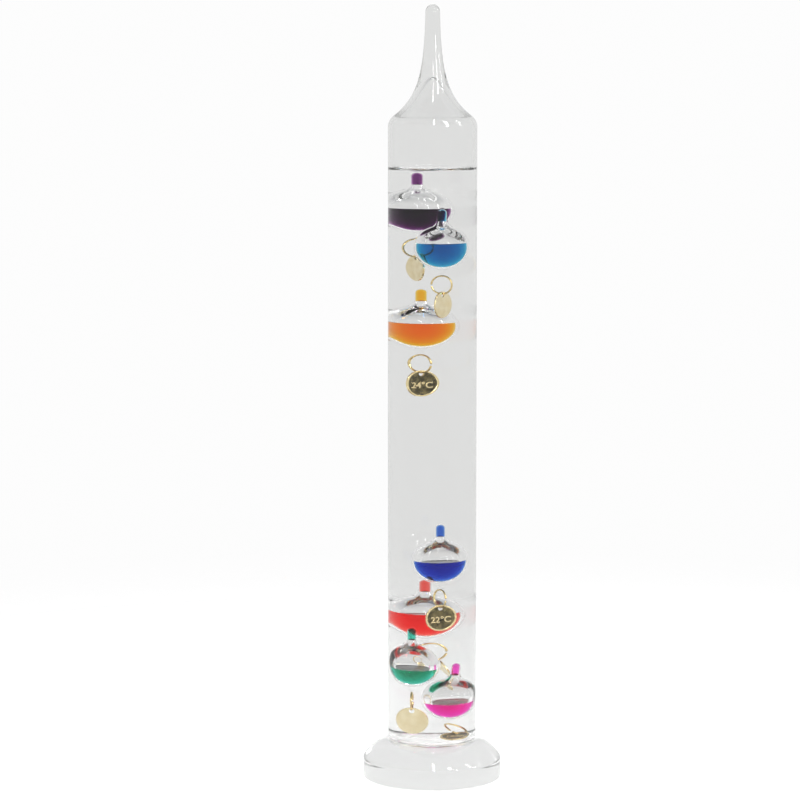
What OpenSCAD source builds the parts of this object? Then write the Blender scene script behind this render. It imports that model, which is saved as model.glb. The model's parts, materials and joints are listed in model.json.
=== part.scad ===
// Galileo thermometer: a sealed glass tube of clear liquid, fused to a solid glass foot. Seven blown
// glass bulbs of dyed liquid float or sink as the clear liquid warms and cools, and each one carries
// a wire ring and a brass temperature tag that trims its weight. The origin is the middle of the
// foot's bottom face, and +Z runs up the tube.

/* [Tube] */
// Outer diameter of the tube
tube_d = 32; // [32:0.1:33]
// Thickness of the tube's wall and floor
tube_wall = 1.3; // [1.1:0.05:1.4]
// Height of the whole thermometer
total_h = 280; // [278:1:300]
// Height at which the straight barrel ends
shoulder_z = 236.5; // [235:0.5:240]
// Radius of the shoulder's outside
shoulder_r = 5; // [4:0.5:6]
// Slope at which the shoulder turns into the drawn neck, in degrees
shoulder_turn = 52.5; // [48:0.5:56]
// Diameter of the solid neck above the air space
neck_d = 4.9; // [4:0.1:6]
// Height at which the air space closes
apex_z = 254; // [250:1:258]
// Radius of the inside corner at the tube's floor
floor_corner_r = 2; // [1:0.25:2.5]
// Height of the clear liquid's surface
liquid_z = 221; // [220:1:230]

/* [Foot] */
// Diameter of the foot
foot_d = 50; // [46:1:60]
// Height of the foot where the tube stands on it
foot_h = 13.9; // [13.9:0.1:14.1]
// Height of the foot's upright edge
foot_side_h = 7.3; // [6:0.1:9]
// Radius of the foot's domed top, seen from the side
foot_dome_r = 15; // [13:0.5:40]
// Bevel along the foot's bottom edge
foot_bevel = 0.6; // [0.2:0.1:1]

/* [Bulbs] */
// Outer diameter of a bulb
bulb_d = 15.8; // [15:0.1:15.8]
// Wall thickness of a bulb
bulb_wall = 0.45; // [0.35:0.05:0.6]
// Diameter of the sealed tail on top of a bulb
tail_d = 2.9; // [2.4:0.1:2.9]
// Height of the tail's tip above the bulb's middle
tail_top = 14; // [13:0.1:14]
// Depth of the eye's middle below the bulb's middle
eye_drop = 10.1; // [9.8:0.1:10.1]
// Where each bulb's middle rests, from the warmest tag to the coldest
purple_at = [-3.2, 5.75, 206.6]; // [-7:0.1:210]
// Light blue bulb
cyan_at = [2.6, -3.5, 193.8]; // [-7:0.1:210]
// Orange bulb
orange_at = [-2.3, 6.1, 164.8]; // [-7:0.1:210]
// Dark blue bulb
blue_at = [2.2, -2.6, 80.1]; // [-7:0.1:210]
// Red bulb
red_at = [-1.4, 6.4, 58.9]; // [-7:0.1:210]
// Green bulb
green_at = [-5.6, -2.8, 42.2]; // [-7:0.1:210]
// Magenta bulb, which lies on the tube's floor
magenta_at = [4.9, -0.7, 29.7]; // [-7:0.1:210]

/* [Rings and tags] */
// Diameter of the ring's wire
wire_d = 0.56; // [0.5:0.02:0.6]
// Diameter of the ring, to the middle of its wire
ring_d = 6.4; // [6:0.1:6.4]
// Diameter of a tag
tag_d = 9.5; // [8.5:0.1:9.5]
// Thickness of a tag
tag_t = 0.5; // [0.4:0.05:0.6]
// Diameter of the hole in a tag
tag_hole_d = 1.6; // [1.5:0.05:1.7]

/* [Hidden] */
$fn = 64;
tube_r = tube_d / 2;
bore_r = tube_r - tube_wall;
floor_z = foot_h + tube_wall;
bulb_r = bulb_d / 2;
cavity_r = bulb_r - bulb_wall;
tail_r = tail_d / 2;
wire_r = wire_d / 2;
ring_r = ring_d / 2;
tag_r = tag_d / 2;

// the eye at the bottom of a bulb is a small glass loop on a stem
stem_r = 0.95;
stem_fillet = 0.6;
tail_fillet = 3;
tail_end = 0.5;            // solid glass at the tail's tip
drop_bottom = 10.4;        // where the drop that is caught in the tail ends
loop_r = 0.75;
loop_wire_r = 0.36;
stem_end = 0.2;            // how far the stem runs past the middle of the loop's glass
eye_bore_r = 0.42;
wire_sag = 0.08;           // the wire rests this far below the middle of the eye
tag_sag = 0.45;            // and the tag's hole hangs this far below the wire
hole_to_middle = 3.5;      // from a tag's hole to its middle
split = 9;                 // opening of the wire ring, in degrees
film = 0.05;               // between a liquid and the glass that holds it
shell_gap = 0.1;           // between the clear liquid and a bulb
part_gap = 0.15;           // between the clear liquid and a tail, a ring or a tag

// one row for each bulb: name, middle, liquid's level from the middle, direction of the ring's
// wire in the eye, lean, direction of the lean, swing of the ring, tilt of the ring and its tag
// along the wire, number, colour
LYING = 6;
BULBS = [
    ["purple", purple_at, 0.4, 14, 0, 0, 0, 0, "28", "indigo"],
    ["cyan", cyan_at, 1.1, 155, 0, 0, 0, 0, "26", "deepskyblue"],
    ["orange", orange_at, 1.1, -50, 0, 0, 0, 0, "24", "orangered"],
    ["blue", blue_at, 0, -58, 0, 0, 0, 0, "22", "mediumblue"],
    ["red", red_at, 1.1, 14, 0, 0, 0, 24, "20", "red"],
    ["green", green_at, -1.6, 76, 0, 0, 0, 0, "18", "seagreen"],
    ["magenta", magenta_at, -1.9, 255, 14.9, -55, -53.5, 0, "16", "deeppink"]
];
PARTS = ["bulb", "liquid", "ring", "tag"];

function middle(i) = BULBS[i][1];
function level(i) = BULBS[i][2];
function yaw(i) = BULBS[i][3];
function lean(i) = BULBS[i][4];
function lean_to(i) = BULBS[i][5];
function ring_swing(i) = BULBS[i][6];
function tilt(i) = BULBS[i][7];

function up(i) = [sin(lean(i)) * cos(lean_to(i)), sin(lean(i)) * sin(lean_to(i)), cos(lean(i))];
function along(i) = [cos(yaw(i)), sin(yaw(i)), 0];
function across(i) = [sin(yaw(i)), -cos(yaw(i)), 0];
function swung(i) = across(i) * sin(ring_swing(i)) - [0, 0, cos(ring_swing(i))];
function ring_down(i) = swung(i) * cos(tilt(i)) + along(i) * sin(tilt(i));

// the middle of the wire in the eye, the ring's middle, and the wire where the tag hangs on it
function wire_at(i) = middle(i) - up(i) * eye_drop - [0, 0, wire_sag];
function ring_at(i) = wire_at(i) + ring_down(i) * ring_r;
function threaded(i) = i == LYING ? 50 : 0;
function tag_at(i) = ring_at(i) + ring_r * (ring_down(i) * cos(threaded(i)) + along(i) * sin(threaded(i)));

// the tag that lies on the floor points this way from its hole, and slopes this much
lying_to = yaw(LYING) + atan2(0.3, 0.95);
lying_slope = 6.7;

// the drawn neck narrows exponentially from where the shoulder's arc hands over to it
turn_in_r = tube_r - shoulder_r;
function turn_r(radius) = turn_in_r + radius * cos(shoulder_turn);
function turn_z(radius) = shoulder_z + radius * sin(shoulder_turn);
flare_span = turn_r(shoulder_r) - neck_d / 2;
flare_length = flare_span / tan(shoulder_turn);
function neck_r(z) = neck_d / 2 + flare_span * exp((turn_z(shoulder_r) - z) / flare_length);
function closing(t) = sqrt(1 - pow(t, 4));
steps = 24;

module barrel_bottom(radius, bottom, corner) {
    translate([0, bottom + corner])
        square([radius, shoulder_z - bottom - corner]);
    translate([0, bottom])
        square([radius - corner, corner + 1]);
    translate([radius - corner, bottom + corner])
        circle(corner);
}

module tube_outline() {
    bead_r = neck_d / 2 + 0.15;
    bead_z = total_h - bead_r;
    barrel_bottom(tube_r, foot_h, 1.2);
    polygon(concat(
        [[0, shoulder_z - 1], [tube_r, shoulder_z - 1]],
        [for (s = [0:10]) let (a = s * shoulder_turn / 10)
            [turn_in_r + shoulder_r * cos(a), shoulder_z + shoulder_r * sin(a)]],
        [for (s = [1:steps]) let (z = turn_z(shoulder_r) + s * (bead_z - turn_z(shoulder_r)) / steps)
            [neck_r(z), z]],
        [for (a = [10:16:90]) [bead_r * cos(a), bead_z + bead_r * sin(a)]]));
}

module air_outline() {
    inner_r = shoulder_r - tube_wall;
    low = turn_z(inner_r);
    thin = neck_r(low) - turn_r(inner_r);
    polygon(concat(
        [[0, shoulder_z - 1], [bore_r, shoulder_z - 1]],
        [for (s = [0:10]) let (a = s * shoulder_turn / 10)
            [turn_in_r + inner_r * cos(a), shoulder_z + inner_r * sin(a)]],
        [for (s = [1:steps]) let (t = s / steps, z = low + t * (apex_z - low))
            [(neck_r(z) - thin) * closing(t), z]]));
}

module glass_tube() {
    color("whitesmoke", 0.3)
        rotate_extrude($fn = 96)
            difference() {
                tube_outline();
                barrel_bottom(bore_r, floor_z, floor_corner_r);
                air_outline();
            }
}

module foot() {
    foot_r = foot_d / 2;
    rise = foot_h - foot_side_h;
    run = foot_r - tube_r;
    chord = norm([run, rise]);
    sink = sqrt(pow(foot_dome_r, 2) - pow(chord / 2, 2));
    dome_x = (foot_r + tube_r) / 2 - sink * rise / chord;
    dome_z = (foot_h + foot_side_h) / 2 - sink * run / chord;
    color("whitesmoke", 0.4)
        rotate_extrude($fn = 96)
            union() {
                polygon([[0, 0], [foot_r - foot_bevel, 0], [foot_r, foot_bevel], [foot_r, foot_side_h],
                         [tube_r, foot_h], [0, foot_h]]);
                intersection() {
                    translate([dome_x, dome_z])
                        circle(foot_dome_r);
                    polygon([[tube_r, foot_side_h - 1], [foot_r, foot_side_h - 1], [foot_r, foot_side_h],
                             [foot_r, foot_h], [tube_r, foot_h]]);
                }
            }
}

// a tail or a stem that grows out of a ball of the given radius with a smooth fillet
module spur(ball_r, spur_r, fillet, reach) {
    out = spur_r + fillet;
    rise = sqrt(pow(ball_r + fillet, 2) - pow(out, 2));
    difference() {
        polygon([[0, 0], [out, rise], [0, rise]]);
        translate([out, rise])
            circle(fillet);
    }
    translate([0, rise - 0.1])
        square([spur_r, reach - spur_r - rise + 0.1]);
    translate([0, reach - spur_r])
        circle(spur_r);
}

module right_half() {
    intersection() {
        union() children();
        translate([0, -2 * bulb_d])
            square([bulb_d, 4 * bulb_d]);
    }
}

module leaning(i) {
    translate(middle(i))
        rotate([0, 0, lean_to(i)])
            rotate([0, lean(i), 0])
                rotate([0, 0, -lean_to(i)])
                    children();
}

// the hollow of a bulb, which runs up into the tail
module hollow(clear = 0) {
    circle(cavity_r - clear);
    spur(cavity_r - clear, tail_r - bulb_wall - clear, tail_fillet + bulb_wall + clear,
         tail_top - tail_end - clear);
}

module bulb(i) {
    color("aliceblue", 0.4)
        leaning(i) {
            rotate_extrude()
                right_half()
                    difference() {
                        union() {
                            circle(bulb_r);
                            spur(bulb_r, tail_r, tail_fillet, tail_top);
                            mirror([0, 1])
                                spur(bulb_r, stem_r, stem_fillet, eye_drop - loop_r + stem_end);
                        }
                        hollow();
                    }
            translate([0, 0, -eye_drop])
                rotate([0, 90, yaw(i)])
                    rotate_extrude()
                        difference() {
                            translate([loop_r, 0])
                                circle(loop_wire_r, $fn = 32);
                            translate([0, -1])
                                square([eye_bore_r, 2]);
                        }
        }
}

// the pool lies level in its bulb, and a drop of it is caught in the tail
module liquid(i) {
    color(BULBS[i][9]) {
        intersection() {
            leaning(i)
                rotate_extrude()
                    right_half()
                        hollow(film);
            translate(middle(i) + [0, 0, level(i) - bulb_d])
                cylinder(r = bulb_d, h = bulb_d);
        }
        leaning(i)
            rotate_extrude()
                right_half()
                    intersection() {
                        hollow(film);
                        translate([0, drop_bottom])
                            square(bulb_d);
                    }
    }
}

module ring(i) {
    color("gold")
        translate(ring_at(i))
            rotate([0, 0, yaw(i)])
                rotate([90 - ring_swing(i), 0, 0])
                    rotate([0, 0, split])
                        rotate_extrude(angle = 360 - split)
                            translate([ring_r, 0])
                                circle(wire_r, $fn = 32);
}

// seven strokes make any digit: top, middle, bottom, then the four uprights
STROKES = ["1011111", "0000011", "1110110", "1110011", "0101011", "1111001", "1111101", "1000011",
           "1111111", "1111011"];

module digit(text, h) {
    w = h * 0.5;
    stroke = h * 0.16;
    bars = [[0, h / 2, w, 0], [0, 0, w, 0], [0, -h / 2, w, 0],
            [-w / 2, h / 4, 0, h / 2], [-w / 2, -h / 4, 0, h / 2],
            [w / 2, -h / 4, 0, h / 2], [w / 2, h / 4, 0, h / 2]];
    on = STROKES[ord(text) - ord("0")];
    for (s = [0:6])
        if (on[s] == "1")
            translate([bars[s][0], bars[s][1]])
                square([bars[s][2] + stroke, bars[s][3] + stroke], center = true);
}

// a tag with its hole's middle at the origin, hanging along -Z, its face towards +X
module tag_blank(number) {
    rim = 0.5;
    relief = 0.08;
    rotate([90, 0, 90])
        difference() {
            union() {
                translate([0, -hole_to_middle, -tag_t / 2]) {
                    cylinder(r = tag_r, h = tag_t - relief);
                    for (s = [0, 1])
                        translate([s * 2.1 - 1.75, -0.3, tag_t - relief - 0.02])
                            linear_extrude(relief + 0.02)
                                digit(number[s], 2.8);
                    translate([2.05, 0.75, tag_t - relief - 0.02])
                        linear_extrude(relief + 0.02)
                            difference() {
                                circle(0.5);
                                circle(0.25);
                            }
                    translate([0, 0, tag_t - relief - 0.02])
                        linear_extrude(relief + 0.02)
                            difference() {
                                circle(tag_r);
                                circle(tag_r - rim);
                            }
                }
            }
            translate([0, 0, -tag_t])
                cylinder(d = tag_hole_d, h = 2 * tag_t);
        }
}

module tag(i) {
    color("goldenrod")
        translate(tag_at(i))
            if (i == LYING)
                rotate([0, lying_slope - 90, lying_to])
                    tag_blank(BULBS[i][8]);
            else
                rotate([0, 0, yaw(i)])
                    rotate([0, -tilt(i), 0])
                        translate([0, 0, -tag_sag])
                            tag_blank(BULBS[i][8]);
}

// the room that a bulb, its ring and its tag take in the clear liquid
module bulb_room(i) {
    leaning(i) {
        sphere(bulb_r + shell_gap);
        translate([0, 0, 6.6])
            cylinder(r1 = 4.4, r2 = tail_r + part_gap, h = 3.5);
        cylinder(r = tail_r + part_gap, h = tail_top + part_gap);
        translate([0, 0, -eye_drop - 1.3])
            cylinder(r = 1.35, h = eye_drop);
    }
    translate(ring_at(i))
        rotate([0, 0, yaw(i)])
            rotate([90 - ring_swing(i), 0, 0])
                cylinder(r = ring_r + wire_r + part_gap, h = wire_d + 2 * part_gap, center = true);
    translate(tag_at(i))
        if (i == LYING)
            rotate([0, lying_slope - 90, lying_to])
                tag_room(0);
        else
            rotate([0, 0, yaw(i)])
                rotate([0, -tilt(i), 0])
                    tag_room(tag_sag);
}

module tag_room(sag) {
    translate([0, 0, -hole_to_middle - sag])
        rotate([0, 90, 0])
            cylinder(r = tag_r + part_gap, h = tag_t + 2 * part_gap, center = true);
}

module fill_liquid() {
    color("azure", 0.2)
        difference() {
            rotate_extrude($fn = 96)
                intersection() {
                    barrel_bottom(bore_r - film, floor_z + film, floor_corner_r);
                    square([tube_r, liquid_z]);
                }
            for (i = [0:len(BULBS) - 1])
                bulb_room(i);
        }
}

glass_tube();
foot();
fill_liquid();
for (i = [0:len(BULBS) - 1]) {
    bulb(i);
    liquid(i);
    ring(i);
    tag(i);
}
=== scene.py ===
"""The looks of a Galileo thermometer: glass, clear liquid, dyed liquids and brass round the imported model.

Lengths in the constants are millimetres, and every mesh is built in millimetres and scaled to metres at
the end. Light bends at each surface by the ratio of the two materials that meet there, so every glass mesh
has one material slot for each kind of neighbour: air, clear liquid, dye, or more of the same glass.
"""
import json
import math

import bpy
from mathutils import Matrix, Vector


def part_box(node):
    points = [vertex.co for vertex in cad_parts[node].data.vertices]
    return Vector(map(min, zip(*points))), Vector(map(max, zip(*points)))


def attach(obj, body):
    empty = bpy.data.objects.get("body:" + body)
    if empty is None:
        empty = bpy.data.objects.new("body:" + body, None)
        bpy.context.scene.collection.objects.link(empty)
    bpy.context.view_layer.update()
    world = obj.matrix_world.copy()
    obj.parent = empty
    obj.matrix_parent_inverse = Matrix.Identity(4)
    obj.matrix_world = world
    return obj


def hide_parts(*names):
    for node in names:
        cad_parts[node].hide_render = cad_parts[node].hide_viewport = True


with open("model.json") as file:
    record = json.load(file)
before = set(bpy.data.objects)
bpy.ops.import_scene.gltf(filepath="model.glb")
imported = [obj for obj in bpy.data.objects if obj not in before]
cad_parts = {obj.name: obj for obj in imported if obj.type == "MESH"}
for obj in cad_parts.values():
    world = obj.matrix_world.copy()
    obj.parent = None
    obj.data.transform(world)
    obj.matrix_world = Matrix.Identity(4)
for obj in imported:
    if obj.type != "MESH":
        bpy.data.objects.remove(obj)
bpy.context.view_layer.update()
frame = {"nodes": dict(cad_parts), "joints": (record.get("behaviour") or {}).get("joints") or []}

MM = 0.001
UP = Vector((0, 0, 1))

# refractive indices
GLASS = 1.47
CLEAR = 1.44
DYED = 1.38
SAME = 1.0

# tube and foot, in millimetres
tube_low, tube_high = (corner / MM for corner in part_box("glass_tube"))
foot_low, foot_high = (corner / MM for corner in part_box("foot"))
TUBE_R = tube_high.x
TOTAL_H = tube_high.z
FOOT_R = foot_high.x
FOOT_H = foot_high.z
LIQUID_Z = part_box("fill_liquid")[1].z / MM
TUBE_WALL = 1.3
BORE_R = TUBE_R - TUBE_WALL
FLOOR_Z = FOOT_H + TUBE_WALL
HEEL_R = 1.2
FLOOR_CORNER_R = 2
SHOULDER_Z = 236.5
SHOULDER_R = 5
SHOULDER_TURN = math.radians(52.5)
NECK_R = 2.45
APEX_Z = 254
BEAD_R = 2.6
FOOT_SIDE_H = 7.3
FOOT_DOME_R = 15
FOOT_BEVEL = 0.6
HAIR = 0.01                # between two meshes that touch
MENISCUS_RISE = 1.1
MENISCUS_WIDTH = 1.3

# bulbs, from a bulb's middle
BULB_R = 7.9
BULB_WALL = 0.45
TAIL_R = 1.45
TAIL_WALL = 0.2             # drawn out thinner than the ball
TAIL_FILLET = 3
TAIL_TOP = 14
TAIL_END = 0.4
STEM_R = 0.95
STEM_FILLET = 0.6
STEM_INTO_LOOP = 0.2
EYE_DROP = 10.1
LOOP_R = 0.75
LOOP_WIRE_R = 0.36
WIRE_SAG = 0.08
DROP_BOTTOM = 9.3
FILM = 0.02
DYE_RISE = 0.4
DYE_WIDTH = 0.6
DROP_ARCH = 0.35             # the drop's underside is hollow by this much
ROUND_TO_Z = 6.2             # up to this height from its middle the hollow is a plain ball
LEVEL_LEAN = 0.01            # radians, below which a bulb stands upright

# rings and tags
WIRE_R = 0.28
RING_R = 3.2
RING_SPLIT = math.radians(9)
TAG_R = 4.75
TAG_T = 0.5
TAG_RIM = 0.55
TAG_RELIEF = 0.09
TAG_HOLE_R = 0.8
HOLE_TO_MIDDLE = 3.5

# number on the tag, and what a full bulb of the dye lets through of red, green and blue light
BULBS = {
    "purple": ("28", (0.0040, 0.00002, 0.0050)),
    "cyan": ("26", (0.00005, 0.080, 0.360)),
    "orange": ("24", (0.970, 0.130, 0.00001)),
    "blue": ("22", (0.00005, 0.003, 0.300)),
    "red": ("20", (0.930, 0.0015, 0.0008)),
    "green": ("18", (0.00005, 0.170, 0.065)),
    "magenta": ("16", (0.820, 0.0004, 0.200)),
}
DROP_STRENGTH = 2.2          # the drop in a tail is small, and its colour is as full as the pool's


# ---------------------------------------------------------------- meshes

def arc(middle_r, middle_z, radius, start, stop, steps):
    """Points of an arc in the half plane of a turned profile. Angles in radians."""
    angles = [start + (stop - start) * s / steps for s in range(steps + 1)]
    return [(middle_r + radius * math.cos(a), middle_z + radius * math.sin(a)) for a in angles]


def turned(profile, slot_of, segments, inward=False):
    """Surface turned about Z from a profile that runs from the axis at the bottom to the axis at the top.
    slot_of(i) is the material slot of the band above point i. Returns points, faces and slots."""
    points, faces, slots = [(0, 0, profile[0][1])], [], []
    rings = profile[1:-1]
    for radius, height in rings:
        for s in range(segments):
            a = 2 * math.pi * s / segments
            points.append((radius * math.cos(a), radius * math.sin(a), height))
    points.append((0, 0, profile[-1][1]))
    last = len(points) - 1
    for s in range(segments):
        t = (s + 1) % segments
        faces.append((0, 1 + t, 1 + s))
        slots.append(slot_of(0))
        for i in range(len(rings) - 1):
            low, high = 1 + i * segments, 1 + (i + 1) * segments
            faces.append((low + s, low + t, high + t, high + s))
            slots.append(slot_of(i + 1))
        top = 1 + (len(rings) - 1) * segments
        faces.append((top + s, top + t, last))
        slots.append(slot_of(len(rings)))
    if inward:
        faces = [tuple(reversed(f)) for f in faces]
    return points, faces, slots


def swept_ring(ring_r, wire_r, gap, around=96, across=20):
    """A wire bent to a circle in the XY plane, with an opening of gap radians and rounded ends."""
    if gap == 0:
        turns = [(2 * math.pi * i / around, wire_r) for i in range(around)]
    else:
        cap = wire_r / ring_r
        quarter = [k * math.pi / 12 for k in range(1, 7)]
        ends = [(cap * (1 - math.cos(q)), wire_r * math.sin(q)) for q in quarter]
        start, stop = gap, 2 * math.pi
        inner = [(start + cap + (stop - start - 2 * cap) * i / around, wire_r) for i in range(1, around)]
        turns = [(start + a, r) for a, r in ends] + inner + [(stop - a, r) for a, r in reversed(ends)]
    points, faces = [], []
    for a, r in turns:
        for k in range(across):
            b = 2 * math.pi * k / across
            out = ring_r + r * math.cos(b)
            points.append((out * math.cos(a), out * math.sin(a), r * math.sin(b)))
    count = len(turns)
    for i in range(count if gap == 0 else count - 1):
        for k in range(across):
            n, j = (k + 1) % across, (i + 1) % count
            faces.append((i * across + k, j * across + k, j * across + n, i * across + n))
    if gap:
        faces.append(tuple((count - 1) * across + k for k in range(across)))
        faces.append(tuple(reversed(range(across))))
    return points, faces, [0] * len(faces)


def moved(shell, matrix):
    points, faces, slots = shell
    return [tuple(matrix @ Vector(p)) for p in points], faces, slots


def solid(name, shells, materials, body, replaces, sharp=40):
    """One piece from closed shells in millimetres, riding on a body."""
    points, faces, slots = [], [], []
    for shell_points, shell_faces, shell_slots in shells:
        start = len(points)
        points += [tuple(c * MM for c in p) for p in shell_points]
        faces += [tuple(start + i for i in f) for f in shell_faces]
        slots += shell_slots
    mesh = bpy.data.meshes.new(name)
    mesh.from_pydata(points, [], faces)
    for m in materials:
        mesh.materials.append(m)
    mesh.polygons.foreach_set("material_index", slots)
    mesh.polygons.foreach_set("use_smooth", [True] * len(faces))
    mesh.update()
    mesh.set_sharp_from_angle(angle=math.radians(sharp))
    piece = bpy.data.objects.new(name, mesh)
    bpy.context.scene.collection.objects.link(piece)
    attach(piece, body)
    if replaces:
        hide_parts(replaces)
    return piece


# ---------------------------------------------------------------- materials

class Nodes:
    """The node tree of a new material or world, with short calls to fill it."""

    def __init__(self, owner):
        owner.use_nodes = True
        self.tree = owner.node_tree
        self.tree.nodes.clear()

    def add(self, kind, **inputs):
        node = self.tree.nodes.new(kind)
        for name, value in inputs.items():
            self.put(node.inputs[name.replace("_", " ")], value)
        return node

    def put(self, socket, value):
        if isinstance(value, bpy.types.NodeSocket):
            self.tree.links.new(value, socket)
        elif isinstance(value, bpy.types.Node):
            self.tree.links.new(value.outputs[0], socket)
        elif socket.type == "RGBA" and len(value) == 3:
            socket.default_value = (*value, 1)
        else:
            socket.default_value = value

    def place(self, stretch=(1, 1, 1)):
        """Object coordinates in metres, stretched."""
        coordinates = self.tree.nodes.new("ShaderNodeTexCoord").outputs["Object"]
        return self.add("ShaderNodeMapping", Vector=coordinates, Scale=stretch)

    def noise(self, scale, detail=2.0, stretch=(1, 1, 1)):
        node = self.add("ShaderNodeTexNoise", Vector=self.place(stretch), Scale=scale, Detail=detail)
        return node.outputs["Fac"]

    def blend(self, share, first, second):
        node = self.tree.nodes.new("ShaderNodeMix")
        node.data_type = "RGBA"
        self.put(node.inputs[0], share)
        self.put(node.inputs[6], first)
        self.put(node.inputs[7], second)
        return node.outputs[2]

    def remap(self, value, low, high, to_low, to_high, kind="LINEAR"):
        node = self.add("ShaderNodeMapRange", Value=value)
        node.interpolation_type = kind
        for name, number in (("From Min", low), ("From Max", high), ("To Min", to_low), ("To Max", to_high)):
            node.inputs[name].default_value = number
        return node.outputs[0]

    def bump(self, height, depth):
        return self.add("ShaderNodeBump", Height=height, Distance=depth, Strength=1.0)

    def mix_shaders(self, share, first, second):
        node = self.tree.nodes.new("ShaderNodeMixShader")
        self.put(node.inputs[0], share)
        self.put(node.inputs[1], first)
        self.put(node.inputs[2], second)
        return node

    def output(self, surface, volume=None, kind="ShaderNodeOutputMaterial"):
        node = self.tree.nodes.new(kind)
        self.put(node.inputs["Surface"], surface)
        if volume:
            self.put(node.inputs["Volume"], volume)


def through_lamps(nodes, shader, tint):
    """The shader, which lets the light of lamps straight through, as thin clear glass does."""
    shadow = nodes.tree.nodes.new("ShaderNodeLightPath").outputs["Is Shadow Ray"]
    return nodes.mix_shaders(shadow, shader, nodes.add("ShaderNodeBsdfTransparent", Color=tint))


def clear(name, ior, tint=(1, 1, 1), wave=0.0):
    """Glass or clear liquid. wave is the depth of its slow unevenness in millimetres."""
    material = bpy.data.materials.new(name)
    nodes = Nodes(material)
    drawn = nodes.noise(90, 2, (1, 1, 0.12))
    darker = tuple(c * 0.985 for c in tint)
    colour = nodes.blend(drawn, tint, darker)
    shader = nodes.add("ShaderNodeBsdfGlass", Color=colour, Roughness=0.0, IOR=ior)
    if wave:
        nodes.put(shader.inputs["Normal"], nodes.bump(drawn, wave * MM))
    nodes.output(through_lamps(nodes, shader, tint))
    return material


def unseen(name):
    """Where a mesh meets more of the same material, nothing shows."""
    material = bpy.data.materials.new(name)
    nodes = Nodes(material)
    nodes.output(nodes.add("ShaderNodeBsdfTransparent", Color=(1, 1, 1)))
    return material


def dye(name, passed, ior, strength=1.0):
    """Dyed liquid. passed is what a full bulb of it lets through at strength 1."""
    material = bpy.data.materials.new(name)
    nodes = Nodes(material)
    taken = [-math.log(p) / (2 * BULB_R * MM) for p in passed]
    density = max(taken)
    colour = tuple(1 - t / density for t in taken)
    swirl = nodes.noise(350, 3)
    pale = tuple(0.97 + 0.03 * p for p in passed)
    faint = nodes.blend(swirl, (1, 1, 1), pale)
    shader = nodes.add("ShaderNodeBsdfGlass", Color=faint, Roughness=0.0, IOR=ior)
    volume = nodes.add("ShaderNodeVolumeAbsorption", Color=colour, Density=density * strength)
    nodes.output(through_lamps(nodes, shader, (1, 1, 1)), volume)
    return material


def brass(name, colour, worn, roughness, grain=0.004, stain_and_shade=None):
    """Brass, with tarnish in patches, fine scratches, and, where the last colour is given, blotches toward it
    that are partly stain and partly painted shade.
    """
    material = bpy.data.materials.new(name)
    nodes = Nodes(material)
    patches = nodes.remap(nodes.noise(420, 5), 0.35, 0.7, 0, 1)
    scratches = nodes.noise(2600, 4, (1, 1, 0.08))
    base = nodes.blend(patches, colour, worn)
    if stain_and_shade:
        # blotches toward a near-black colour: partly stain, partly painted shade for the deep reflections the
        # field would show
        stain_and_shade_mask = nodes.remap(nodes.noise(700, 4), 0.3, 0.62, 0.35, 1)
        base = nodes.blend(stain_and_shade_mask, base, stain_and_shade)
    rough = nodes.remap(patches, 0, 1, roughness, roughness + 0.14)
    normal = nodes.bump(scratches, grain * MM)
    nodes.output(nodes.add("ShaderNodeBsdfPrincipled", Base_Color=base, Metallic=1.0, Roughness=rough,
                           Normal=normal))
    return material


TINT = (0.872, 0.874, 0.870)
glass_dry = clear("glass_in_air", GLASS, TINT, wave=0.03)
glass_lined = clear("glass_inside_in_air", GLASS)
glass_wet = clear("glass_on_liquid", GLASS / CLEAR)
glass_fused = unseen("glass_on_glass")
foot_dry = clear("foot_in_air", GLASS, (0.94, 0.942, 0.94), wave=0.02)
liquid_top = clear("liquid_in_air", CLEAR)
liquid_side = unseen("liquid_on_glass")
bulb_wet = clear("bulb_on_liquid", GLASS / CLEAR)
bulb_lined = clear("bulb_inside_in_air", GLASS, wave=0.01)
bulb_dyed = clear("bulb_on_dye", GLASS / DYED)
wire_gold = brass("wire_gold", (0.86, 0.70, 0.36), (0.62, 0.46, 0.20), 0.14)
tag_bright = brass("tag_bright", (0.88, 0.74, 0.42), (0.74, 0.58, 0.30), 0.2)
# the back of each tag: a paler copy of the tag brass, painted light for how the backs face the lamps
tag_back_painted_lighter = brass("tag_back_painted_lighter", (0.86, 0.76, 0.52), (0.76, 0.64, 0.38), 0.3, grain=0.008)
# the sunken field: patina in the hollow, made much darker with painted shade that stands in for reflections
# of unlit surroundings
tag_field_patina_and_painted_shade = brass("tag_field_patina_and_painted_shade", (0.36, 0.29, 0.12), (0.22, 0.17, 0.07), 0.24, stain_and_shade=(0.055, 0.045, 0.018))


# ---------------------------------------------------------------- tube, foot and clear liquid

def turn_r(radius):
    return TUBE_R - SHOULDER_R + radius * math.cos(SHOULDER_TURN)


def turn_z(radius):
    return SHOULDER_Z + radius * math.sin(SHOULDER_TURN)


FLARE_SPAN = turn_r(SHOULDER_R) - NECK_R
FLARE_LENGTH = FLARE_SPAN / math.tan(SHOULDER_TURN)


def neck_r(z):
    """The drawn neck narrows exponentially from the shoulder."""
    return NECK_R + FLARE_SPAN * math.exp((turn_z(SHOULDER_R) - z) / FLARE_LENGTH)


def spread(low, high, steps):
    return [low + (high - low) * s / steps for s in range(1, steps + 1)]


def shoulder(radius):
    return arc(TUBE_R - SHOULDER_R, SHOULDER_Z, radius, 0, SHOULDER_TURN, 24)


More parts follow.
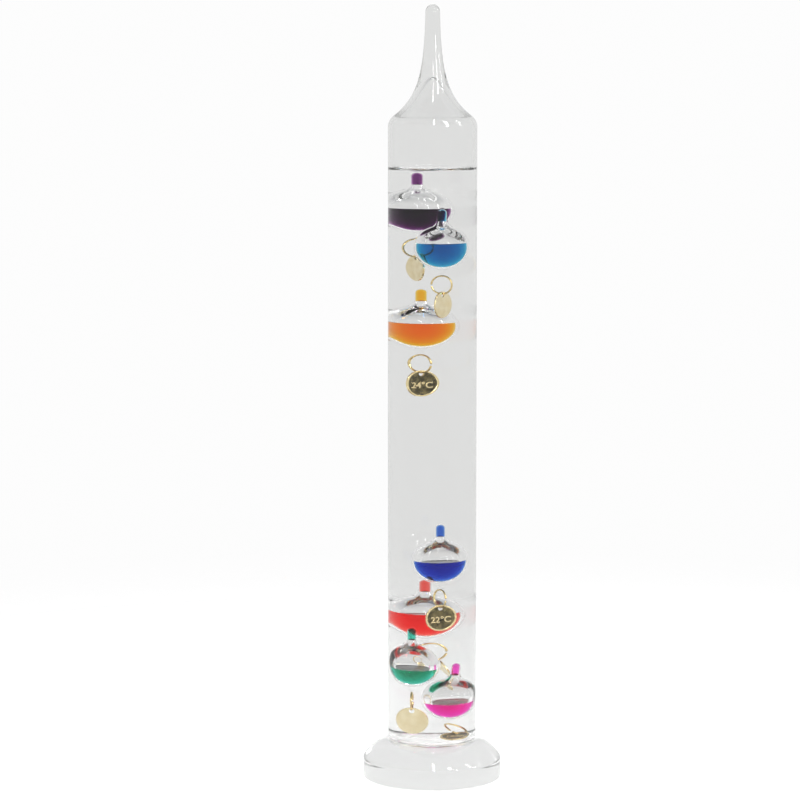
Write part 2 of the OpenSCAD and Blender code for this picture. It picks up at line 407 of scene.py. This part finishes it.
def tube_outside():
    bottom = FOOT_H + HAIR
    heel = arc(TUBE_R - HEEL_R, bottom + HEEL_R, HEEL_R, -math.pi / 2, 0, 16)
    wall = [(TUBE_R, z) for z in spread(bottom + HEEL_R, SHOULDER_Z, 20)[:-1]]
    bead_z = TOTAL_H - BEAD_R
    neck = [(neck_r(z), z) for z in spread(turn_z(SHOULDER_R), bead_z, 90)]
    bead = arc(0, bead_z, BEAD_R, 0, math.pi / 2, 16)[1:]
    return [(0, bottom)] + heel + wall + shoulder(SHOULDER_R) + neck + bead[:-1] + [(0, TOTAL_H)]


def tube_inside(wet_z):
    inner_r = SHOULDER_R - TUBE_WALL
    low = turn_z(inner_r)
    thin = neck_r(low) - turn_r(inner_r)
    corner = arc(BORE_R - FLOOR_CORNER_R, FLOOR_Z + FLOOR_CORNER_R, FLOOR_CORNER_R, -math.pi / 2, 0, 16)
    wall = [(BORE_R, z) for z in spread(FLOOR_Z + FLOOR_CORNER_R, wet_z, 20) + [SHOULDER_Z - 8]]
    # crowded towards the apex, where the outline turns over
    shares = [math.sin(s * math.pi / 2) for s in spread(0, 1, 70)]
    closing = [((neck_r(low + t * (APEX_Z - low)) - thin) * math.sqrt(1 - t ** 4), low + t * (APEX_Z - low))
               for t in shares[:-1]]
    return [(0, FLOOR_Z)] + corner + wall + shoulder(inner_r) + closing + [(0, APEX_Z)]


def make_tube():
    wet_z = LIQUID_Z + MENISCUS_RISE
    outside, inside = tube_outside(), tube_inside(wet_z)
    outer = turned(outside, lambda i: 2 if i == 0 else 0, 192)
    inner = turned(inside, lambda i: 3 if inside[i][1] < wet_z - 0.001 else 1, 192, inward=True)
    solid("tube", [outer, inner], [glass_dry, glass_lined, glass_fused, glass_wet], "root", "glass_tube")


def make_foot():
    rise, run = FOOT_H - FOOT_SIDE_H, FOOT_R - TUBE_R
    chord = math.hypot(run, rise)
    sink = math.sqrt(FOOT_DOME_R ** 2 - (chord / 2) ** 2)
    dome = (TUBE_R + run / 2 - sink * rise / chord, (FOOT_H + FOOT_SIDE_H) / 2 - sink * run / chord)
    start = math.atan2(FOOT_SIDE_H - dome[1], FOOT_R - dome[0])
    stop = math.atan2(FOOT_H - dome[1], TUBE_R - dome[0])
    edge = arc(FOOT_R - FOOT_BEVEL, FOOT_BEVEL, FOOT_BEVEL, -math.pi / 2, 0, 10)
    over = arc(*dome, FOOT_DOME_R, start, stop, 32)
    contact = TUBE_R - HEEL_R
    profile = [(0, 0)] + edge + [(FOOT_R, FOOT_SIDE_H - 0.6)] + over + [(contact, FOOT_H), (0, FOOT_H)]
    shell = turned(profile, lambda i: 1 if i >= len(profile) - 2 else 0, 192)
    solid("foot_piece", [shell], [foot_dry, glass_fused], "root", "foot")


def make_clear_liquid():
    radius, bottom = BORE_R - HAIR, FLOOR_Z + HAIR
    corner = arc(radius - FLOOR_CORNER_R, bottom + FLOOR_CORNER_R, FLOOR_CORNER_R, -math.pi / 2, 0, 16)
    surface = [(radius - d, LIQUID_Z + MENISCUS_RISE * math.exp(-d / MENISCUS_WIDTH))
               for d in [radius * (s / 40) ** 2.2 for s in range(40)]]
    profile = [(0, bottom)] + corner + surface + [(0, LIQUID_Z)]
    wall = len(corner)
    shell = turned(profile, lambda i: 0 if i > wall else 1, 192)
    solid("clear_liquid", [shell], [liquid_top, liquid_side], "root", "fill_liquid")


# ---------------------------------------------------------------- bulbs

def fillet_middle(ball_r, spur_r, fillet):
    """Radius and height of the middle of a fillet between a ball and a spur on its axis."""
    out = spur_r + fillet
    return out, math.sqrt((ball_r + fillet) ** 2 - out ** 2)


def blown(wall, tail_wall, top, split_z=0.0):
    """Profile of a bulb without its stem, the given walls inside its outside. split_z is a height that gets a
    point of its own."""
    ball_r = BULB_R - wall
    tail_r = TAIL_R - tail_wall
    fillet = TAIL_FILLET + tail_wall
    split = math.asin(split_z / ball_r)
    out, rise = fillet_middle(ball_r, tail_r, fillet)
    points = arc(0, 0, ball_r, -math.pi / 2, split, 40)
    points += arc(0, 0, ball_r, split, math.atan2(rise, out), 26)[1:]
    points += arc(out, rise, fillet, 2 * math.pi + math.atan2(-rise, -out), math.pi, 20)[1:]
    points += arc(0, top - tail_r, tail_r, 0, math.pi / 2, 12)
    return [(0, -ball_r)] + points[1:-1] + [(0, top)]


def stemmed():
    """Profile of a bulb's outside, with the short stem that carries the eye."""
    out, rise = fillet_middle(BULB_R, STEM_R, STEM_FILLET)
    end = EYE_DROP - LOOP_R + STEM_INTO_LOOP
    tip = arc(0, STEM_R - end, STEM_R, -math.pi / 2, 0, 10)
    root = arc(out, -rise, STEM_FILLET, math.pi, math.atan2(rise, -out), 10)
    outside = blown(0, 0, TAIL_TOP)
    start = -BULB_R * rise / math.hypot(out, rise)
    return [(0, -end)] + tip[1:] + root + [p for p in outside[1:] if p[1] > start + 0.02]


class Bulb:
    """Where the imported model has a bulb, its ring and its tag. The record gives the pins they turn on."""

    def __init__(self, name):
        self.name = name
        self.number, self.passed = BULBS[name]
        joints = {j["name"]: j for j in frame["joints"]}
        ring_pin, tag_pin = joints[name + "_ring_swing"], joints[name + "_tag_swing"]
        low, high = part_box(name + "_bulb")
        self.wire_at = Vector(ring_pin["pos_m"]) / MM
        self.tag_at = Vector(tag_pin["pos_m"]) / MM
        eye = self.wire_at + WIRE_SAG * UP
        across = (low + high) / 2 / MM
        aside = Vector((across.x - eye.x, across.y - eye.y, 0))
        self.middle = Vector((across.x, across.y, eye.z + math.sqrt(EYE_DROP ** 2 - aside.length_squared)))
        self.up = (self.middle - eye).normalized()
        lean = self.up.angle(UP)
        self.lean = lean if lean > LEVEL_LEAN else 0
        self.turn = UP.cross(self.up).normalized() if self.lean else Vector((1, 0, 0))
        self.wire_dir = -Vector(ring_pin["axis"])
        self.wire_dir.rotate(Matrix.Rotation(-self.lean, 3, self.turn))
        pool = [v.co.z / MM - self.middle.z for v in frame["nodes"][name + "_liquid"].data.vertices]
        self.level = max(z for z in pool if z < TAIL_R + 2)
        self.ring_middle = sum(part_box(name + "_ring"), Vector()) / 2 / MM
        self.tag_middle = sum(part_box(name + "_tag"), Vector()) / 2 / MM

    def leaned(self, share=1.0):
        return Matrix.Rotation(self.lean * share, 4, self.turn)

    def stands(self, shell):
        """A shell about Z, moved to the bulb and leaned with it."""
        return moved(shell, Matrix.Translation(self.middle) @ self.leaned())

    def settles(self, shell):
        """The same for what meets the pool: its rings stay level at the pool's surface, and lean with the
        bulb at the tail. On the ball any lean gives the same surface."""
        points, faces, slots = shell
        placed = []
        for p in points:
            away = min(1.0, abs(p[2] - self.level) / (ROUND_TO_Z - abs(self.level)))
            placed.append(tuple(self.middle + self.leaned(away * away * (3 - 2 * away)) @ Vector(p)))
        return placed, faces, slots


def make_bulb(bulb):
    outside = turned(stemmed(), lambda i: 0, 96)
    wet_z = bulb.level + DYE_RISE
    hollow = blown(BULB_WALL, TAIL_WALL, TAIL_TOP - TAIL_END, wet_z)

    def wetted(i):
        return 2 if hollow[i][1] < wet_z - 0.001 or hollow[i][1] > DROP_BOTTOM - 0.05 else 1

    inside = turned(hollow, wetted, 96, inward=True)
    loop = swept_ring(LOOP_R, LOOP_WIRE_R, 0, 48, 20)
    axis = bulb.wire_dir
    sideways = UP.cross(axis)
    loop_frame = Matrix((sideways, UP, axis)).transposed().to_4x4()
    loop_frame.translation = Vector((0, 0, -EYE_DROP))
    shells = [bulb.stands(outside), bulb.settles(inside), bulb.stands(moved(loop, loop_frame))]
    solid(bulb.name + "_shell", shells, [bulb_wet, bulb_lined, bulb_dyed], bulb.name + "_float",
          bulb.name + "_bulb")


def make_dye(bulb):
    wet_z = bulb.level + DYE_RISE
    hollow = blown(BULB_WALL + FILM, TAIL_WALL + FILM, TAIL_TOP - TAIL_END - FILM, wet_z)
    wall = [p for p in hollow if p[1] <= wet_z + 0.001]
    wall_r = wall[-1][0]
    surface = [(wall_r - d, bulb.level + DYE_RISE * math.exp(-d / DYE_WIDTH))
               for d in [wall_r * (s / 24) ** 2 for s in range(1, 24)]]
    pool_profile = wall + surface + [(0, bulb.level)]
    pool = turned(pool_profile, lambda i: 0 if i >= len(wall) - 1 else 1, 96)
    tail = [p for p in hollow if p[1] > DROP_BOTTOM]
    tail_r = tail[0][0]
    under = [(tail_r * s / 8, DROP_BOTTOM + DROP_ARCH * (1 - (s / 8) ** 2)) for s in range(8)]
    drop = turned(under + tail, lambda i: 2 if i < len(under) else 3, 48)
    kinds = (("surface", DYED, 1), ("depth", SAME, 1),
             ("drop_surface", DYED, DROP_STRENGTH), ("drop_depth", SAME, DROP_STRENGTH))
    materials = [dye(f"{bulb.name}_{kind}", bulb.passed, ior, strength) for kind, ior, strength in kinds]
    shells = [bulb.settles(pool), bulb.stands(drop)]
    solid(bulb.name + "_dyed_liquid", shells, materials, bulb.name + "_float", bulb.name + "_liquid")


# ---------------------------------------------------------------- rings and tags

def make_ring(bulb):
    """The ring runs through the eye and through the tag's hole, in a plane that holds the wire in the eye."""
    along = bulb.wire_dir
    span = bulb.tag_at - bulb.wire_at
    normal = along.cross(span).normalized()
    aside = normal.cross(span).normalized() * math.sqrt(max(0, RING_R ** 2 - span.length_squared / 4))
    half_way = (bulb.wire_at + bulb.tag_at) / 2
    middle = min(half_way + aside, half_way - aside, key=lambda m: (m - bulb.ring_middle).length)
    place = Matrix((along, normal.cross(along), normal)).transposed().to_4x4()
    place.translation = middle
    wire = moved(swept_ring(RING_R, WIRE_R, RING_SPLIT), place)
    solid(bulb.name + "_wire_ring", [wire], [wire_gold], bulb.name + "_ring", bulb.name + "_ring")


def tag_frame(bulb):
    """Matrix that puts a tag drawn in the XY plane, its hole towards +Y and its number towards +Z."""
    hang = (bulb.tag_middle - bulb.tag_at).normalized()
    face = UP if abs(bulb.wire_dir.dot(hang)) > 0.7 else bulb.wire_dir
    face = (face - hang * hang.dot(face)).normalized()
    place = Matrix((face.cross(hang), -hang, face)).transposed().to_4x4()
    place.translation = bulb.tag_middle
    return place


def pressed_disc():
    """A tag's profile: a flat back, a rounded edge, a raised rim and a sunken field."""
    half = TAG_T / 2
    turn = 0.12
    field_z = half - TAG_RELIEF
    inner = TAG_R - TAG_RIM
    low = arc(TAG_R - turn, turn - half, turn, -math.pi / 2, 0, 6)
    high = arc(TAG_R - turn, half - turn, turn, 0, math.pi / 2, 6)
    step = [(inner + 0.14, half), (inner + 0.09, half - 0.01),
            (inner, field_z + 0.012), (inner - 0.06, field_z)]
    return [(0, -half), (inner, -half)] + low + high + step + [(0, field_z)]


def make_tag(bulb):
    profile = pressed_disc()
    field = len(profile) - 3

    def finish(i):
        # slot 1, the sunken field, carries patina and painted shade
        # slot 2, the back, carries a painted lighter tone
        return 2 if i < 2 else (1 if i >= field else 0)

    disc = turned(profile, finish, 128)
    name = bulb.name + "_brass_tag"
    place = tag_frame(bulb)
    tag = solid(name, [moved(disc, place)], [tag_bright, tag_field_patina_and_painted_shade, tag_back_painted_lighter], bulb.name + "_tag",
                bulb.name + "_tag", 25)
    drill = place @ Matrix.Translation((0, HOLE_TO_MIDDLE, 0))
    half = TAG_T
    bore = turned([(0, -half), (TAG_HOLE_R, -half), (TAG_HOLE_R, half), (0, half)], lambda i: 0, 48)
    cutter_mesh = bpy.data.meshes.new("drill")
    cutter_mesh.from_pydata([tuple(c * MM for c in p) for p in moved(bore, drill)[0]], [], bore[1])
    cutter_mesh.materials.append(tag_bright)
    cutter = bpy.data.objects.new("drill", cutter_mesh)
    bpy.context.scene.collection.objects.link(cutter)
    cut = tag.modifiers.new("hole", "BOOLEAN")
    cut.object = cutter
    cut.operation = "DIFFERENCE"
    cut.solver = "EXACT"
    bpy.context.view_layer.update()
    cut_mesh = bpy.data.meshes.new_from_object(tag.evaluated_get(bpy.context.evaluated_depsgraph_get()))
    tag.modifiers.clear()
    tag.data = cut_mesh
    tag.data.set_sharp_from_angle(angle=math.radians(25))
    bpy.data.objects.remove(cutter)
    make_number(bulb, place)


def make_number(bulb, place):
    text = bpy.data.curves.new(bulb.name + "_digits", "FONT")
    text.body = bulb.number + "°C"
    text.align_x, text.align_y = "CENTER", "CENTER"
    text.size = 3.0
    text.extrude = 0.04
    text.bevel_depth = 0.03
    text.bevel_resolution = 2
    text.offset = 0.03
    drawn = bpy.data.objects.new(text.name, text)
    bpy.context.scene.collection.objects.link(drawn)
    bpy.context.view_layer.update()
    mesh = bpy.data.meshes.new_from_object(drawn.evaluated_get(bpy.context.evaluated_depsgraph_get()))
    bpy.data.objects.remove(drawn)
    field_z = TAG_T / 2 - TAG_RELIEF
    raised = place @ Matrix.Translation((0, -0.7, field_z + 0.03))
    mesh.transform(Matrix.Scale(MM, 4) @ raised)
    mesh.materials.clear()
    mesh.materials.append(tag_bright)
    number = bpy.data.objects.new(bulb.name + "_number", mesh)
    bpy.context.scene.collection.objects.link(number)
    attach(number, bulb.name + "_tag")


# ---------------------------------------------------------------- room, light and camera

def make_floor():
    material = bpy.data.materials.new("pale_floor")
    nodes = Nodes(material)
    coordinates = nodes.place()
    distance = nodes.add("ShaderNodeVectorMath", Vector=coordinates)
    distance.operation = "LENGTH"
    fade = nodes.remap(distance.outputs["Value"], 0.06, 0.56, 0, 1, "SMOOTHERSTEP")
    paper = nodes.blend(nodes.noise(30), (0.86, 0.86, 0.86), (0.88, 0.88, 0.88))
    surface = nodes.add("ShaderNodeBsdfDiffuse", Color=paper)
    nodes.output(nodes.mix_shaders(fade, surface, nodes.add("ShaderNodeBsdfTransparent", Color=(1, 1, 1))))
    radius = 0.6
    corners = [(radius * math.cos(a * math.pi / 32), radius * math.sin(a * math.pi / 32), -0.0001)
               for a in range(64)]
    mesh = bpy.data.meshes.new("floor")
    mesh.from_pydata(corners, [], [tuple(range(64))])
    mesh.materials.append(material)
    floor = bpy.data.objects.new("floor", mesh)
    bpy.context.scene.collection.objects.link(floor)


def make_world():
    world = bpy.data.worlds.new("studio")
    bpy.context.scene.world = world
    nodes = Nodes(world)
    direction = nodes.tree.nodes.new("ShaderNodeTexCoord").outputs["Generated"]
    height = nodes.add("ShaderNodeSeparateXYZ", Vector=direction).outputs["Z"]
    overhead = nodes.remap(height, 0.45, 0.95, 0, 1)
    colour = nodes.blend(overhead, (0.98, 0.98, 0.98), (0.68, 0.69, 0.70))
    nodes.output(nodes.add("ShaderNodeBackground", Color=colour, Strength=1.0), kind="ShaderNodeOutputWorld")


def softbox(name, azimuth, elevation, distance, width, height, radiance):
    """A rectangular lamp that faces the thermometer. Azimuth 0 is the camera's side, and 90 is +X."""
    a, e = math.radians(azimuth), math.radians(elevation)
    away = Vector((math.sin(a) * math.cos(e), -math.cos(a) * math.cos(e), math.sin(e)))
    lamp = bpy.data.lights.new(name, "AREA")
    lamp.shape = "RECTANGLE"
    lamp.size, lamp.size_y = width, height
    lamp.energy = radiance * math.pi * width * height
    placed = bpy.data.objects.new(name, lamp)
    placed.location = Vector((0, 0, 0.14)) + away * distance
    placed.rotation_mode = "QUATERNION"
    placed.rotation_quaternion = away.to_track_quat("Z", "Y")
    bpy.context.scene.collection.objects.link(placed)


def make_camera():
    place = Vector((-0.01165, -1.1, 0.262))
    aim = Vector((-0.01165, 0, 0.1382))
    lens = bpy.data.cameras.new("camera")
    lens.lens = 137.9
    camera = bpy.data.objects.new("camera", lens)
    camera.location = place
    camera.rotation_mode = "QUATERNION"
    camera.rotation_quaternion = (aim - place).to_track_quat("-Z", "Y")
    bpy.context.scene.collection.objects.link(camera)
    bpy.context.scene.camera = camera


def make_room():
    make_floor()
    make_world()
    softbox("key_softbox", 4, 46, 1.6, 0.09, 1.5, 24)
    softbox("side_softbox", 40, 32, 1.6, 0.16, 1.3, 24)
    softbox("edge_softbox", 80, 30, 1.6, 0.07, 1.0, 24)
    make_camera()
    scene = bpy.context.scene
    scene.view_settings.view_transform = "Standard"
    scene.cycles.max_bounces = 48
    scene.cycles.transmission_bounces = 48
    scene.cycles.glossy_bounces = 24
    scene.cycles.transparent_max_bounces = 96


make_tube()
make_foot()
make_clear_liquid()
for bulb_name in BULBS:
    this_bulb = Bulb(bulb_name)
    make_bulb(this_bulb)
    make_dye(this_bulb)
    make_ring(this_bulb)
    make_tag(this_bulb)
make_room()
